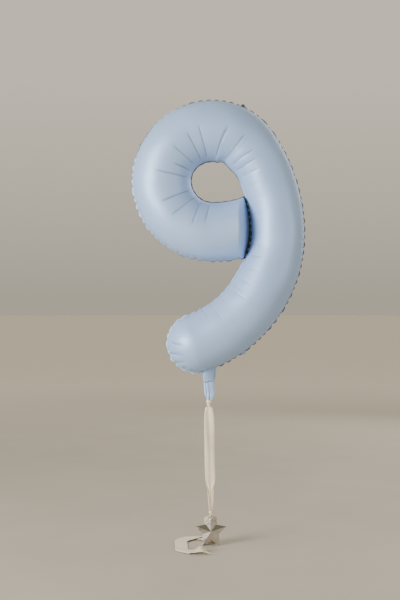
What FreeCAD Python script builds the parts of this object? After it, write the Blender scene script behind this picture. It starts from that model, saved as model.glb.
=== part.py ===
import FreeCAD, Part
import math
import os

# Foil number balloon: a two-panel inflated numeral nine on a ribbon, held down by a star-shaped weight.
# Millimetres. +Z up, the numeral's face looks along -Y. The origin is on the floor, under the middle
# of the numeral's width.

# ---- driving dimensions -------------------------------------------------------------------------
OVERALL_WIDTH = 487.3      # across the numeral, seam to seam
FILM = 0.3                 # panel thickness
SEAM = 4.0                 # width of the welded seam outside the inflated tube

# The numeral's outer outline is four tangent arcs and one flatter arc that ends the loop.
LOOP_OUTER = 228.0         # left and bottom of the loop
LOOP_Z = 1025.6
CROWN_OUTER = 205.0        # top right of the loop
TAIL_OUTER = 410.0         # right side, below its widest point
STEM_Z = 876.0             # height of the widest point
FOOT_OUTER = 420.0         # bottom of the loop, towards the loop's end

# Half widths of the stroke, seam included
LOOP_HALF = 84.5
LOOP_TOP_HALF = 88.0
JOIN_HALF = 81.5           # where the top right runs into the right side
STEM_HALF = 77.0
TAIL_HALF = 84.5
SWELL_START = -180.0       # degrees of the loop's arc from which it widens towards its top
CROWN_EASE = 62.0          # degrees of the top right arc from which it narrows
STEM_EASE = 20.0           # degrees of the right side's arc below which its width is even

TAIL_FLARE = 30.0          # degrees of the tail arc over which it widens
TAIL_END = 71.3            # degrees of the tail arc in all
LOOP_END_X = 74.0          # flat face that closes the loop's end
LOOP_END_ROUND = 45.0      # length over which the loop's end comes in

NECK_X = -27.0
NECK_SECTIONS = (          # height, half width, half depth
    (512.0, 21.0, 15.0),
    (480.0, 18.0, 10.0),
    (456.0, 14.6, 3.0),
    (430.0, 15.0, 1.2),
    (420.0, 13.0, 1.6),
    (409.0, 6.0, 3.0),
    (398.0, 5.5, 3.0),
)
VALVE_HALF_WIDTH = 13.4
VALVE_BOTTOM = 432.0
VALVE_TOP = 566.0
TAB_RADIUS = 6.0
TOP_TAB_ANGLE = 65.8       # places of the two small tabs round the outline
LOW_TAB_ANGLE = 54.6

WRAP_WALL = 1.2
WRAP_TOP = 409.0
WRAP_BOTTOM = 399.0
NECK_KNOT_RADIUS = 4.5
PLAY = 0.3                 # gap between pieces that move against each other

RIBBON_WIDTH = 36.0
RIBBON_THICK = 0.5
TAUT_PROFILE = (           # part of the way up, half width: the ribbon is gathered at both knots
    (0.0, 4.5),
    (0.12, 7.0),
    (0.32, 14.5),
    (0.70, 14.0),
    (0.90, 9.0),
    (1.0, 7.0),
)

STAR_X = -21.4
STAR_TIPS = (              # x, z of the five points from the middle, the top one first
    (0.0, 37.4),
    (-43.5, 13.0),
    (-25.5, -42.2),
    (25.5, -42.2),
    (43.5, 13.0),
)
STAR_NOTCH = 23.5          # from the middle to the corners between the points
STAR_RIM = 10.0            # half the thickness at the points
STAR_RISE = 8.0            # height of each face's middle above the rim
STAR_WALL = 1.5
STAR_SINK = 1.2            # how much of each lower point is cut off flat to stand on
EYE_Y = 3.0
EYE_R = 4.2
EYE_WIRE = 0.9
LINK_R = 2.2
LINK_WIRE = 0.8
WEIGHT_KNOT_R = 5.0
WEIGHT_KNOT_LENGTH = 8.0

# The ribbon's free end: over the weight's top, down behind it, then folded round it on the floor
DROP_POINTS = (            # y, z
    (7.2, 79.3),
    (15.5, 78.0),
    (20.5, 60.0),
    (22.5, 34.0),
    (23.0, 14.0),
    (26.5, 0.25),
    (35.0, 0.25),
)
FLOOR_CORNERS = (          # x, y of the middle of the band at each fold, and its end
    (-21.4, 53.0),
    (-106.0, 53.0),
    (-106.0, -100.0),
    (-20.0, -100.0),
)
CUT_END = 22.0             # how far the ribbon's end is cut on the slant

V = FreeCAD.Vector
X_AXIS = V(1, 0, 0)
Y_AXIS = V(0, 1, 0)
Z_AXIS = V(0, 0, 1)

LOOP_X = LOOP_OUTER - OVERALL_WIDTH / 2
CROWN_Z = LOOP_Z + LOOP_OUTER - CROWN_OUTER
# The right side above its widest point is the arc that meets both the crown and that point smoothly
SPAN = OVERALL_WIDTH - LOOP_OUTER
RISE = CROWN_Z - STEM_Z
STEM_OUTER = (SPAN**2 + RISE**2 - CROWN_OUTER**2) / (2 * (SPAN - CROWN_OUTER))
STEM_X = OVERALL_WIDTH / 2 - STEM_OUTER
TAIL_X = OVERALL_WIDTH / 2 - TAIL_OUTER
FOOT_Z = LOOP_Z - LOOP_OUTER + FOOT_OUTER
CROWN_END = math.degrees(math.atan2(CROWN_Z - STEM_Z, LOOP_X - STEM_X))

STAR_Z = -STAR_TIPS[2][1] - STAR_SINK
EYE_Z = STAR_Z + STAR_TIPS[0][1] + 1.1
EYE_TOP = EYE_Z + EYE_R
WEIGHT_KNOT_Z = EYE_TOP + LINK_R + WEIGHT_KNOT_R
TAUT_BOTTOM = V(STAR_X, EYE_Y, WEIGHT_KNOT_Z + WEIGHT_KNOT_R + PLAY)
NECK_KNOT_Z = NECK_SECTIONS[-1][0] - PLAY - NECK_KNOT_RADIUS
TAUT_TOP = V(NECK_X, 0, NECK_KNOT_Z - NECK_KNOT_RADIUS - PLAY)


# ---- small helpers ------------------------------------------------------------------------------
def export(shape, name):
    """Write one closed solid and report its volume."""
    shape.exportStep("parts/" + name + ".step")
    solids = len(shape.Solids)
    print(name, "solids", solids, "valid", shape.isValid(), "cm3", round(shape.Volume / 1000, 3))


def fused(shapes):
    """Join solids that touch or overlap into one."""
    whole = shapes[0].fuse(shapes[1:])
    return whole.removeSplitter()


def point_on(cx, cz, radius, degrees):
    """Point of a circle in the numeral's plane."""
    a = math.radians(degrees)
    return V(cx + radius * math.cos(a), 0, cz + radius * math.sin(a))


def prism(points, along):
    """Solid swept along a vector from a flat polygon."""
    face = Part.Face(Part.makePolygon(points + [points[0]]))
    return face.extrude(along)


# ---- foil panels --------------------------------------------------------------------------------
def bow(at, half, depth, base, back=False):
    """Bowed edge over a width: a true arc where it is as deep as it is wide, else a smooth curve."""
    if abs(half - depth) < 1e-6:
        foot = math.sqrt(half**2 - base**2)
        ends = (at(foot, base), at(-foot, base))
        if back:
            ends = (ends[1], ends[0])
        return Part.Arc(ends[0], at(0, depth), ends[1]).toShape()
    steps = 8
    angles = [math.pi * k / steps for k in range(steps + 1)]
    points = [at(half * math.cos(t), base + (depth - base) * math.sin(t)) for t in angles]
    if back:
        points.reverse()
    curve = Part.BSplineCurve()
    curve.interpolate(points)
    return curve.toShape()


def panel_section(outer, inner, side, depth=None):
    """Wall of one panel where it is cut across the stroke, with its two seam strips."""
    middle = (outer + inner) * 0.5
    across = outer - inner
    half = across.Length / 2
    across.normalize()
    r = half - SEAM
    r_in = r - FILM
    depth = r if depth is None else depth
    face = V(0, side, 0)

    def at(u, v):
        return middle + across * u + face * v

    over = bow(at, r, depth, FILM)
    under = bow(at, r_in, depth - FILM, 0.0, True)
    top = over.Vertexes[0].Point
    bottom = over.Vertexes[-1].Point
    edges = [
        Part.makeLine(at(half, 0), at(half, FILM)),
        Part.makeLine(at(half, FILM), top),
        over,
        Part.makeLine(bottom, at(-half, FILM)),
        Part.makeLine(at(-half, FILM), at(-half, 0)),
        Part.makeLine(at(-half, 0), at(-r_in, 0)),
        under,
        Part.makeLine(at(r_in, 0), at(half, 0)),
    ]
    return Part.Wire(edges)


def blend(a, b, t):
    """Smooth step from a to b."""
    t = min(max(t, 0.0), 1.0)
    return a + (b - a) * t * t * (3 - 2 * t)


def across_at(cx, cz, radius, degrees, half):
    """Outer and inner outline points where an outline arc is cut square across."""
    return point_on(cx, cz, radius, degrees), point_on(cx, cz, radius - 2 * half, degrees)


def bend(cx, cz, radius, start, stop, half, side):
    """Stretch of constant width along one outline arc, an exact piece of a ring."""
    outer, inner = across_at(cx, cz, radius, start, half)
    section = Part.Face(panel_section(outer, inner, side))
    return section.revolve(V(cx, 0, cz), Y_AXIS, start - stop)


def taper_bend(cx, cz, radius, start, stop, halves, side):
    """Stretch along one outline arc whose width changes smoothly from one half width to another."""
    steps = 5
    sections = []
    for k in range(steps + 1):
        t = k / steps
        half = blend(halves[0], halves[1], t)
        outer, inner = across_at(cx, cz, radius, start + (stop - start) * t, half)
        sections.append(panel_section(outer, inner, side))
    return Part.makeLoft(sections, True, False)


def foot_station(x):
    """Outline points of the loop's last, nearly straight stretch, cut upright."""
    run = x - LOOP_X
    inner_radius = FOOT_OUTER - 2 * LOOP_HALF
    outer = V(x, 0, FOOT_Z - math.sqrt(FOOT_OUTER**2 - run**2))
    inner = V(x, 0, FOOT_Z - math.sqrt(inner_radius**2 - run**2))
    return outer, inner


def foot(side):
    """The loop's last stretch, up to where its end comes in."""
    straight = LOOP_END_X - LOOP_END_ROUND - LOOP_X
    sections = []
    for t in (1.0, 0.5, 0.0):
        outer, inner = foot_station(LOOP_X + straight * t)
        sections.append(panel_section(outer, inner, side))
    return Part.makeLoft(sections, True, False)


def tail_cap(side):
    """Rounded end of the tail: a quarter ball with its seam strip."""
    middle = point_on(TAIL_X, STEM_Z, TAIL_OUTER - TAIL_HALF, -TAIL_END)
    out = point_on(0, 0, 1, -TAIL_END)
    onward = point_on(0, 0, 1, -TAIL_END - 90)
    face = V(0, side, 0)
    r = TAIL_HALF - SEAM
    reach = TAIL_HALF + FILM
    room = prism([
        middle - out * reach,
        middle + out * reach,
        middle + out * reach + onward * reach,
        middle - out * reach + onward * reach,
    ], face * reach)
    strip = Part.makeCylinder(TAIL_HALF, FILM, middle, face)
    filled = Part.makeSphere(r, middle, onward - face).fuse(strip)
    hollow = filled.cut(Part.makeSphere(r - FILM, middle, onward - face))
    return hollow.common(room)


def stroke(side):
    """The whole stroke in the order it is drawn, without the neck."""
    loop = bend(LOOP_X, LOOP_Z, LOOP_OUTER, -90, SWELL_START, LOOP_HALF, side)
    top = taper_bend(LOOP_X, LOOP_Z, LOOP_OUTER, SWELL_START, -270, (LOOP_HALF, LOOP_TOP_HALF), side)
    crown = bend(LOOP_X, CROWN_Z, CROWN_OUTER, 90, CROWN_EASE, LOOP_TOP_HALF, side)
    join = taper_bend(LOOP_X, CROWN_Z, CROWN_OUTER, CROWN_EASE, CROWN_END, (LOOP_TOP_HALF, JOIN_HALF), side)
    shoulder = taper_bend(STEM_X, STEM_Z, STEM_OUTER, CROWN_END, STEM_EASE, (JOIN_HALF, STEM_HALF), side)
    stem = bend(STEM_X, STEM_Z, STEM_OUTER, STEM_EASE, 0, STEM_HALF, side)
    flare = taper_bend(TAIL_X, STEM_Z, TAIL_OUTER, 0, -TAIL_FLARE, (STEM_HALF, TAIL_HALF), side)
    tail = bend(TAIL_X, STEM_Z, TAIL_OUTER, -TAIL_FLARE, -TAIL_END, TAIL_HALF, side)
    neck_hole = neck_solid(side, FILM)
    end = fused([tail, tail_cap(side)]).cut(neck_hole)
    return [foot(side), loop, top, crown, join, shoulder, stem, flare, end]


def loop_end(side):
    """The loop's blunt end: the tube comes in to a flat lid beside the stem."""
    start = LOOP_END_X - LOOP_END_ROUND
    lid_depth = 16.0
    sections = []
    for part in (0.0, 0.3, 0.55, 0.75, 0.9, 1.0):
        outer, inner = foot_station(start + LOOP_END_ROUND * part)
        r = (outer - inner).Length / 2 - SEAM
        depth = r if part == 0 else lid_depth + (r - lid_depth) * math.sqrt(1 - part * part)
        sections.append(panel_section(outer, inner, side, depth))
    taper = Part.makeLoft(sections, True, True)

    def at(u, v):
        return (outer + inner) * 0.5 + V(0, side * v, -u)

    rim = bow(at, r, lid_depth, FILM)
    ends = [e.Point for e in rim.Vertexes]
    foot = Part.makePolygon([ends[1], at(-r, 0), at(r, 0), ends[0]])
    lid = Part.Face(Part.Wire([rim] + foot.Edges)).extrude(V(FILM, 0, 0))
    return taper, lid


def weld_web(side):
    """Flat weld between the loop's lid and the stem, two films thick with its twin."""
    top = foot_station(LOOP_END_X)[1].z
    bottom = foot_station(LOOP_END_X)[0].z
    lap = SEAM / 2

    def stem_edge(z):
        centre_x, radius = STEM_X, STEM_OUTER - 2 * STEM_HALF
        if z < STEM_Z:
            centre_x, radius = TAIL_X, TAIL_OUTER - 2 * STEM_HALF
        return V(centre_x + math.sqrt(radius**2 - (z - STEM_Z) ** 2) + lap, 0, z)

    right = Part.Arc(stem_edge(top), stem_edge(STEM_Z), stem_edge(bottom)).toShape()
    a = V(LOOP_END_X, 0, bottom)
    b = V(LOOP_END_X, 0, top)
    sides = Part.makePolygon([right.Vertexes[-1].Point, a, b, right.Vertexes[0].Point])
    return Part.Face(Part.Wire([right] + sides.Edges)).extrude(V(0, side * FILM, 0))


def tab(cx, cz, outline_radius, degrees, side):
    """Rounded lobe of welded film that stands out of the seam."""
    centre = point_on(cx, cz, outline_radius + TAB_RADIUS - SEAM, degrees)
    return Part.makeCylinder(TAB_RADIUS, FILM, centre, V(0, side, 0))


def neck_solid(side, shrink):
    """Half of the filling neck as a filled body, drawn in by the film's thickness if shrink is set."""
    wires = []
    for z, half, depth in NECK_SECTIONS:
        def at(u, v, z=z):
            return V(NECK_X + u, side * v, z)

        rim = bow(at, half - shrink, depth - shrink, 0.0)
        wires.append(Part.Wire([rim, Part.makeLine(at(shrink - half, 0), at(half - shrink, 0))]))
    return Part.makeLoft(wires, True, True)


def panel(side):
    """One foil panel: front for side -1, back for side +1."""
    neck = neck_solid(side, 0.0).cut(neck_solid(side, FILM))
    taper, lid = loop_end(side)
    top_tab = tab(LOOP_X, CROWN_Z, CROWN_OUTER, TOP_TAB_ANGLE, side)
    low_tab = tab(TAIL_X, STEM_Z, TAIL_OUTER, -LOW_TAB_ANGLE, side)
    return fused(stroke(side) + [neck, taper, lid, weld_web(side), top_tab, low_tab])


def valve_film(side):
    """One ply of the self-sealing valve, flat inside the neck and on into the tail."""
    corner = V(NECK_X - VALVE_HALF_WIDTH, 0 if side > 0 else -FILM, VALVE_BOTTOM)
    return Part.makeBox(2 * VALVE_HALF_WIDTH, FILM, VALVE_TOP - VALVE_BOTTOM, corner)


# ---- ribbon -------------------------------------------------------------------------------------
def neck_wrap():
    """Turns of ribbon pulled tight round the gathered end of the neck."""
    half, depth = NECK_SECTIONS[-2][1:]
    rim = Part.Ellipse(V(NECK_X, 0, WRAP_BOTTOM), half + WRAP_WALL, depth + WRAP_WALL)
    band = Part.Face(Part.Wire(rim.toShape())).extrude(V(0, 0, WRAP_TOP - WRAP_BOTTOM))
    return band.cut([neck_solid(-1, 0.0), neck_solid(1, 0.0)])


def taut_ribbon():
    """The stretch that holds the balloon: a flat band, gathered narrower at both ends."""
    along = TAUT_TOP - TAUT_BOTTOM
    direction = V(along)
    direction.normalize()
    across = direction.cross(Y_AXIS)
    across.normalize()
    normal = across.cross(direction)
    left = []
    right = []
    for part, half in TAUT_PROFILE:
        middle = TAUT_BOTTOM + along * part
        left.append(middle - across * half - normal * (RIBBON_THICK / 2))
        right.append(middle + across * half - normal * (RIBBON_THICK / 2))
    return prism(left + right[::-1], normal * RIBBON_THICK)


def drop_band():
    """The free end where it falls behind the weight and runs out on to the floor."""
    points = [V(STAR_X - RIBBON_WIDTH / 2, y, z) for y, z in DROP_POINTS]
    runs = []
    start = points[0]
    for before, corner, after in zip(points, points[1:], points[2:]):
        a = corner - before
        b = after - corner
        turn = a.getAngle(b)
        shorter = min(a.Length, b.Length)
        reach = 0.45 * shorter
        radius = reach / math.tan(turn / 2)
        print("ribbon bend radius mm", round(radius, 1), "run", round(a.Length, 1))
        a.normalize()
        b.normalize()
        enter = corner - a * reach
        leave = corner + b * reach
        runs.append(Part.makeLine(start, enter))
        bend = b - a
        bend.normalize()
        centre = corner + bend * (radius / math.cos(turn / 2))
        runs.append(Part.Arc(enter, centre - bend * radius, leave).toShape())
        start = leave
    runs.append(Part.makeLine(start, points[-1]))
    line = Part.Wire(runs)
    length = line.Length
    first = points[1] - points[0]
    first.normalize()
    up = first.cross(X_AXIS) * (RIBBON_THICK / 2)
    wide = V(RIBBON_WIDTH, 0, 0)
    profile = Part.Wire(Part.makePolygon([
        points[0] - up, points[0] + up, points[0] + up + wide, points[0] - up + wide, points[0] - up,
    ]))
    band = line.makePipeShell([profile], True, False)
    print("drop length mm", round(length, 1), "section x length", round(length * RIBBON_WIDTH * RIBBON_THICK),
          "volume", round(band.Volume))
    return band, length


def floor_band():
    """The free end on the floor: flat runs that turn at diagonal folds, with a slanted cut end."""
    (x0, y0), (x1, y1), (x2, y2), (x3, y3) = FLOOR_CORNERS
    h = RIBBON_WIDTH / 2
    outline = (
        (x0 + h, y0 - h),
        (x0 - h, y0 + h),
        (x1 + h, y1 + h),
        (x1 - h, y1 - h),
        (x2 - h, y2 + h),
        (x2 + h, y2 - h),
        (x3, y3 - h),
        (x3 - CUT_END, y3 + h),
        (x2 + h, y2 + h),
        (x1 + h, y1 - h),
    )
    length = x0 - x1 + y1 - y2 + x3 - x2 + y0 - DROP_POINTS[-1][0]
    band = prism([V(x, y, 0) for x, y in outline], V(0, 0, RIBBON_THICK))
    return band, length


def ribbon_tail():
    """Whole free end, with its length worked out along the middle of the band."""
    drop, drop_length = drop_band()
    floor, floor_length = floor_band()
    print("free ribbon length mm", round(drop_length + floor_length, 1))
    return fused([drop, floor])


def weight_link():
    """Gathered ribbon threaded through the weight's eye, up to the knot."""
    centre = V(STAR_X, EYE_Y, EYE_TOP)
    ring = Part.makeTorus(LINK_R, LINK_WIRE, centre, X_AXIS)
    below = Part.makeBox(4 * LINK_R, 4 * LINK_R, 2 * LINK_R, centre - V(2 * LINK_R, 2 * LINK_R, 2 * LINK_R))
    parts = [ring.common(below)]
    top = WEIGHT_KNOT_Z - WEIGHT_KNOT_R - PLAY
    for side in (-1, 1):
        foot = centre + V(0, side * LINK_R, 0)
        parts.append(Part.makeCylinder(LINK_WIRE, top - EYE_TOP, foot, Z_AXIS))
    return fused(parts)


def weight_knot():
    """Knot above the weight, a short barrel lying front to back."""
    foot = V(STAR_X, EYE_Y - WEIGHT_KNOT_LENGTH / 2, WEIGHT_KNOT_Z)
    barrel = Part.makeCylinder(WEIGHT_KNOT_R, WEIGHT_KNOT_LENGTH, foot, Y_AXIS)
    return barrel.makeFillet(1.5, barrel.Edges[0:1] + barrel.Edges[2:3])


def neck_knot():
    """Knot under the neck."""
    return Part.makeSphere(NECK_KNOT_RADIUS, V(NECK_X, 0, NECK_KNOT_Z))


# ---- star weight --------------------------------------------------------------------------------
def star_half(side, inset):
    """Half of the faceted star as a filled solid: a straight rim, then ten facets up to the middle."""
    corners = []
    for k in range(5):
        a = math.radians(126 + 72 * k)
        corners.append(V(STAR_TIPS[k][0], 0, STAR_TIPS[k][1]))
        corners.append(V(STAR_NOTCH * math.cos(a), 0, STAR_NOTCH * math.sin(a)))
    nearest = STAR_NOTCH
    for p, q in zip(corners, corners[1:] + corners[:1]):
        nearest = min(nearest, p.cross(q).Length / (q - p).Length)
    scale = 1 - inset / nearest
    rim = STAR_RIM - inset / 2
    apex = V(STAR_X, side * (STAR_RIM + STAR_RISE - inset), STAR_Z)

    def ring(y):
        return [V(STAR_X, y, STAR_Z) + corner * scale for corner in corners]

    flat = ring(0)
    edge = ring(side * rim)
    faces = [Part.Face(Part.makePolygon(flat + [flat[0]]))]
    for k in range(10):
        n = (k + 1) % 10
        faces.append(Part.Face(Part.makePolygon([flat[k], flat[n], edge[n], edge[k], flat[k]])))
        faces.append(Part.Face(Part.makePolygon([edge[k], edge[n], apex, edge[k]])))
    solid = Part.Solid(Part.Shell(faces))
    if solid.Volume < 0:
        solid.reverse()
    return solid


def above_floor(shape):
    """Cut the lower points off flat."""
    size = 200
    return shape.cut(Part.makeBox(size, size, size, V(STAR_X - size / 2, -size / 2, -size)))


def star_shell(side):
    """Front or back half of the plated shell; the back one carries the hanging eye."""
    shell = above_floor(star_half(side, 0.0)).cut(star_core(side))
    if side > 0:
        shell = shell.fuse(Part.makeTorus(EYE_R, EYE_WIRE, V(STAR_X, EYE_Y, EYE_Z), Y_AXIS))
    return shell


def star_core(side):
    """Half of the room inside the shell, with a floor as thick as its walls."""
    core = star_half(side, STAR_WALL)
    size = 200
    return core.cut(Part.makeBox(size, size, size, V(STAR_X - size / 2, -size / 2, STAR_WALL - size)))


def ballast():
    """Solid filling of the star."""
    return fused([star_core(-1), star_core(1)])


os.makedirs("parts", exist_ok=True)
export(panel(-1), "front_foil_panel")
export(panel(1), "back_foil_panel")
export(valve_film(-1), "valve_film_front")
export(valve_film(1), "valve_film_back")
export(neck_wrap(), "ribbon_neck_wrap")
export(neck_knot(), "ribbon_neck_knot")
export(taut_ribbon(), "ribbon_taut")
export(weight_knot(), "ribbon_weight_knot")
export(weight_link(), "ribbon_weight_link")
export(ribbon_tail(), "ribbon_tail")
export(star_shell(-1), "star_front_shell")
export(star_shell(1), "star_back_shell")
export(ballast(), "star_ballast")
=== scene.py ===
import math

import bpy
import numpy as np
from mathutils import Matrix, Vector


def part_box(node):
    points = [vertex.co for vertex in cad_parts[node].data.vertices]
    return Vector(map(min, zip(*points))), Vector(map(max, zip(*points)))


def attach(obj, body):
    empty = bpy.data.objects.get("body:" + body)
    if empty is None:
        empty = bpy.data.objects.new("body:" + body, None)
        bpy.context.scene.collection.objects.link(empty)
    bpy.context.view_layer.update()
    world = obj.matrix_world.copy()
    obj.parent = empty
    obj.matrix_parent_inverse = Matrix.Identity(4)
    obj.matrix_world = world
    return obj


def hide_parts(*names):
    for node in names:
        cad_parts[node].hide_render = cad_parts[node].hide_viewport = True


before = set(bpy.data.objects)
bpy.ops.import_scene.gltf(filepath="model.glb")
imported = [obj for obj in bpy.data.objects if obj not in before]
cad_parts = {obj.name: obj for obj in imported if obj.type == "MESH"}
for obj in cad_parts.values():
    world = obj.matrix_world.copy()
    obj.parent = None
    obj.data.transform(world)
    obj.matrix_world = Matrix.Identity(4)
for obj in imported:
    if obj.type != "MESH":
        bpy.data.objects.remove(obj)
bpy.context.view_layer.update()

# Foil numeral balloon on a ribbon, held down by a star weight. Metres, in the frame of the CAD model.

# ---- camera, lights and stage -------------------------------------------------------------------
EYE = (-0.052, -3.0, 0.690)
LENS = 63.9
LIGHTS_AIM = (0, 0, 0.75)
FLOOR_RADIUS = 45.0
FLOOR_SIDES = 160


def add_camera():
    data = bpy.data.cameras.new("camera")
    data.lens = LENS
    data.sensor_width = 36.0
    camera = bpy.data.objects.new("camera", data)
    camera.location = EYE
    camera.rotation_euler = (math.radians(90), 0, 0)
    bpy.context.scene.collection.objects.link(camera)
    bpy.context.scene.camera = camera


def area_light(name, place, size, watts, colour):
    data = bpy.data.lights.new(name, "AREA")
    data.shape = "DISK"
    data.size = size
    data.energy = watts
    data.color = colour
    light = bpy.data.objects.new(name, data)
    light.location = place
    light.rotation_euler = (Vector(LIGHTS_AIM) - Vector(place)).to_track_quat("-Z", "Y").to_euler()
    bpy.context.scene.collection.objects.link(light)


def add_lights():
    area_light("key", (-2.75, -2.25, 1.3), 1.9, 198, (1.0, 0.99, 0.99))
    area_light("fill", (5.6, -3.25, 1.5), 2.7, 88, (0.97, 0.98, 1.0))
    area_light("back", (1.2, 2.6, 1.9), 2.4, 26, (1.0, 0.98, 0.95))


def world_ramp(tree, value, stops):
    ramp = tree.nodes.new("ShaderNodeValToRGB")
    tree.links.new(value, ramp.inputs["Fac"])
    for element, (at, colour) in zip(ramp.color_ramp.elements, stops):
        element.position = at
        element.color = (*colour, 1)
    return ramp.outputs["Color"]


def add_world():
    """Pale backdrop that deepens towards the floor's far edge, with a dimmer ceiling in front."""
    world = bpy.data.worlds.new("studio")
    world.use_nodes = True
    tree = world.node_tree
    place = tree.nodes.new("ShaderNodeTexCoord").outputs["Generated"]
    parts = tree.nodes.new("ShaderNodeSeparateXYZ")
    tree.links.new(place, parts.inputs["Vector"])
    toward = tree.nodes.new("ShaderNodeVectorMath")
    toward.operation = "DOT_PRODUCT"
    toward.inputs[1].default_value = (0.05, -0.60, 0.80)
    tree.links.new(place, toward.inputs[0])
    height = world_ramp(tree, parts.outputs["Z"], ((0.0, (0.46, 0.415, 0.335)), (0.20, (0.73, 0.665, 0.54))))
    front = world_ramp(tree, toward.outputs["Value"], ((0.60, (1.0, 1.0, 1.0)), (0.90, (0.30, 0.30, 0.30))))
    mix = tree.nodes.new("ShaderNodeMixRGB")
    mix.blend_type = "MULTIPLY"
    mix.inputs["Fac"].default_value = 1.0
    tree.links.new(height, mix.inputs["Color1"])
    tree.links.new(front, mix.inputs["Color2"])
    tree.links.new(mix.outputs["Color"], tree.nodes["Background"].inputs["Color"])
    tree.nodes["Background"].inputs["Strength"].default_value = 1.0
    bpy.context.scene.world = world


# ---- materials ----------------------------------------------------------------------------------
class Shader:
    """A node tree being built, with short calls for the nodes used here."""

    def __init__(self, name, **values):
        self.material = bpy.data.materials.new(name)
        self.material.use_nodes = True
        self.tree = self.material.node_tree
        self.surface = self.tree.nodes["Principled BSDF"]
        for key, value in values.items():
            self.surface.inputs[key.replace("_", " ")].default_value = value
        place = self.tree.nodes.new("ShaderNodeTexCoord")
        self.place = place.outputs["Object"]

    def node(self, kind, **inputs):
        made = self.tree.nodes.new(kind)
        for key, value in inputs.items():
            socket = made.inputs[key.replace("_", " ")]
            if isinstance(value, bpy.types.NodeSocket):
                self.tree.links.new(value, socket)
            else:
                socket.default_value = value
        return made

    def stretched(self, scale):
        mapping = self.node("ShaderNodeMapping", Vector=self.place, Scale=scale)
        return mapping.outputs["Vector"]

    def noise(self, scale, detail=3.0, roughness=0.5, place=None):
        made = self.node("ShaderNodeTexNoise", Vector=place or self.place, Scale=scale, Detail=detail,
                         Roughness=roughness)
        return made.outputs["Fac"]

    def waves(self, scale, place, distortion=0.0):
        made = self.node("ShaderNodeTexWave", Vector=place, Scale=scale, Distortion=distortion)
        return made.outputs["Fac"]

    def ramp(self, value, stops):
        made = self.node("ShaderNodeValToRGB", Fac=value)
        for element, (at, colour) in zip(made.color_ramp.elements, stops):
            element.position = at
            element.color = (*colour, 1)
        return made.outputs["Color"]

    def between(self, value, low, high):
        made = self.node("ShaderNodeMapRange", Value=value, To_Min=low, To_Max=high)
        return made.outputs["Result"]

    def bump(self, value, distance, strength=1.0, under=None):
        made = self.node("ShaderNodeBump", Height=value, Distance=distance, Strength=strength)
        if under:
            self.tree.links.new(under, made.inputs["Normal"])
        return made.outputs["Normal"]

    def to(self, output, name):
        self.tree.links.new(output, self.surface.inputs[name])


def foil_material(name, light, dark, metallic, roughness):
    """Satin metallised film: faint clouding, painted shade in its folds, creases and gathers and along its
    seams, fine orange peel and slack wrinkles.
    """
    s = Shader(name, Metallic=metallic, Coat_Weight=0.06, Coat_Roughness=0.5)
    cloud = s.ramp(s.noise(9.0, 2.0), ((0.3, dark), (0.7, light)))
    # The 'fold' attribute mixes in painted shade: the base colour is multiplied towards dark blue in
    # creases, gathers, folds and along the welded edges.
    fold = s.node("ShaderNodeAttribute")
    fold.attribute_name = "fold"
    mix = s.tree.nodes.new("ShaderNodeMixRGB")
    mix.blend_type = "MULTIPLY"
    s.tree.links.new(fold.outputs["Fac"], mix.inputs["Fac"])
    s.tree.links.new(cloud, mix.inputs["Color1"])
    mix.inputs["Color2"].default_value = (0.09, 0.12, 0.16, 1)
    s.to(mix.outputs["Color"], "Base Color")
    s.to(s.between(s.noise(60.0), roughness - 0.05, roughness + 0.07), "Roughness")
    slack = s.bump(s.noise(38.0, 2.0), 0.0010, 0.30)
    grain = s.bump(s.noise(900.0, 2.0), 0.00008, 0.5, slack)
    s.to(grain, "Normal")
    return s.material


def satin_material(name, light, dark, along):
    """Woven satin ribbon: fine ribs across, threads along, a soft sheen."""
    s = Shader(name, Sheen_Weight=0.35, Sheen_Roughness=0.4, Specular_IOR_Level=0.4)
    tone = s.ramp(s.noise(45.0, 3.0), ((0.3, dark), (0.7, light)))
    s.to(tone, "Base Color")
    s.to(s.between(s.noise(120.0), 0.42, 0.58), "Roughness")
    ribs = s.bump(s.waves(420.0, s.stretched(along)), 0.00012, 0.5)
    s.to(s.bump(s.noise(1500.0, 2.0), 0.00006, 0.5, ribs), "Normal")
    return s.material


def plating_material():
    """Vacuum-plated plastic: a bright mirror with faint moulding waves and handling marks."""
    s = Shader("star_plating", Metallic=1.0, Coat_Weight=0.3, Coat_Roughness=0.05)
    s.to(s.ramp(s.noise(70.0, 3.0), ((0.3, (0.58, 0.54, 0.48)), (0.7, (0.72, 0.68, 0.62)))), "Base Color")
    marks = s.noise(420.0, 6.0, 0.7, s.stretched((1.0, 1.0, 0.25)))
    s.to(s.between(marks, 0.05, 0.24), "Roughness")
    s.to(s.bump(s.noise(38.0, 2.0), 0.0003, 0.2), "Normal")
    return s.material


def ballast_material():
    s = Shader("star_filling", Roughness=0.9)
    s.to(s.ramp(s.noise(600.0, 4.0), ((0.35, (0.23, 0.20, 0.17)), (0.65, (0.42, 0.38, 0.33)))), "Base Color")
    s.to(s.bump(s.noise(500.0, 5.0), 0.0008, 0.8), "Normal")
    return s.material


def valve_material():
    s = Shader("valve_film", Roughness=0.35, Specular_IOR_Level=0.5)
    s.to(s.ramp(s.noise(40.0), ((0.3, (0.62, 0.66, 0.70)), (0.7, (0.74, 0.78, 0.82)))), "Base Color")
    s.to(s.bump(s.noise(200.0, 3.0), 0.0003, 0.4), "Normal")
    return s.material


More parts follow.
